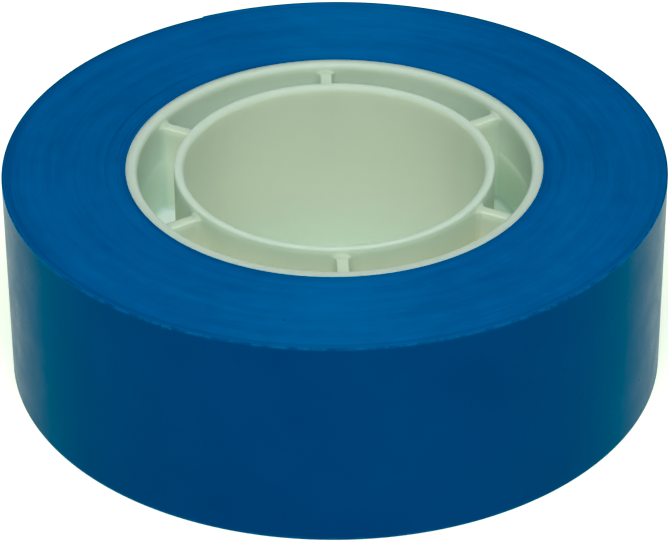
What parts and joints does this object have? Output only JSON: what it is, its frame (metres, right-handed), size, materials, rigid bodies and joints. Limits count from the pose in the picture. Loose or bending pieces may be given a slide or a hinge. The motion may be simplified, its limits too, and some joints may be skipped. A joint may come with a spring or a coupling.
{
  "type": "electrical tape roll",
  "caption": "Roll of blue insulating tape wound on a pale ribbed plastic core with an open centre, with a loose end that peels and uncurls.",
  "frame": {"origin": "centre of the roll's lower face, on the axis of the bore, where the roll lies on a table", "axes": "+Z along the roll's axis, up from the lower face; the loose end lies at the back, on the +Y side, and its cut edge is at 115 degrees from +X, counted towards +Y"},
  "size_m": [0.0573, 0.0574, 0.0191],
  "materials": {
    "tape_film": "gloss",
    "wound_edge": "satin",
    "adhesive": "satin",
    "core_plastic": "satin"
  },
  "bodies": {
    "roll": {"core": "core_plastic", "tape_turns": "wound_edge", "raised_turns": "wound_edge", "last_turn_adhesive": "adhesive", "last_turn_film": "tape_film"},
    "tail_1": {"tail_adhesive_1": "adhesive", "tail_film_1": "tape_film"},
    "tail_2": {"tail_adhesive_2": "adhesive", "tail_film_2": "tape_film"},
    "tail_3": {"tail_adhesive_3": "adhesive", "tail_film_3": "tape_film"},
    "tail_4": {"tail_adhesive_4": "adhesive", "tail_film_4": "tape_film"},
    "tail_5": {"tail_adhesive_5": "adhesive", "tail_film_5": "tape_film"},
    "tail_6": {"tail_adhesive_6": "adhesive", "tail_film_6": "tape_film"},
    "tail_7": {"tail_adhesive_7": "adhesive", "tail_film_7": "tape_film"}
  },
  "joints": [
    {"name": "peel_line", "type": "hinge", "parent": "roll", "child": "tail_1", "pos_m": [0.01164, 0.02629, 0.00955], "axis": [0, 0, -1], "range_deg": [0, 80]},
    {"name": "tail_bend_2", "type": "hinge", "parent": "tail_1", "child": "tail_2", "pos_m": [0.00836, 0.02751, 0.00955], "axis": [0, 0, -1], "range_deg": [0, 12]},
    {"name": "tail_bend_3", "type": "hinge", "parent": "tail_2", "child": "tail_3", "pos_m": [0.00495, 0.02833, 0.00955], "axis": [0, 0, -1], "range_deg": [0, 12]},
    {"name": "tail_bend_4", "type": "hinge", "parent": "tail_3", "child": "tail_4", "pos_m": [0.00147, 0.02873, 0.00955], "axis": [0, 0, -1], "range_deg": [0, 12]},
    {"name": "tail_bend_5", "type": "hinge", "parent": "tail_4", "child": "tail_5", "pos_m": [-0.00203, 0.0287, 0.00955], "axis": [0, 0, -1], "range_deg": [0, 12]},
    {"name": "tail_bend_6", "type": "hinge", "parent": "tail_5", "child": "tail_6", "pos_m": [-0.00551, 0.02824, 0.00955], "axis": [0, 0, -1], "range_deg": [0, 12]},
    {"name": "tail_bend_7", "type": "hinge", "parent": "tail_6", "child": "tail_7", "pos_m": [-0.0089, 0.02736, 0.00955], "axis": [0, 0, -1], "range_deg": [0, 12]}
  ],
  "couplings": [
    {"joint": "tail_bend_3", "follows": "tail_bend_2", "ratio": 1},
    {"joint": "tail_bend_4", "follows": "tail_bend_2", "ratio": 1},
    {"joint": "tail_bend_5", "follows": "tail_bend_2", "ratio": 1},
    {"joint": "tail_bend_6", "follows": "tail_bend_2", "ratio": 1},
    {"joint": "tail_bend_7", "follows": "tail_bend_2", "ratio": 1}
  ]
}
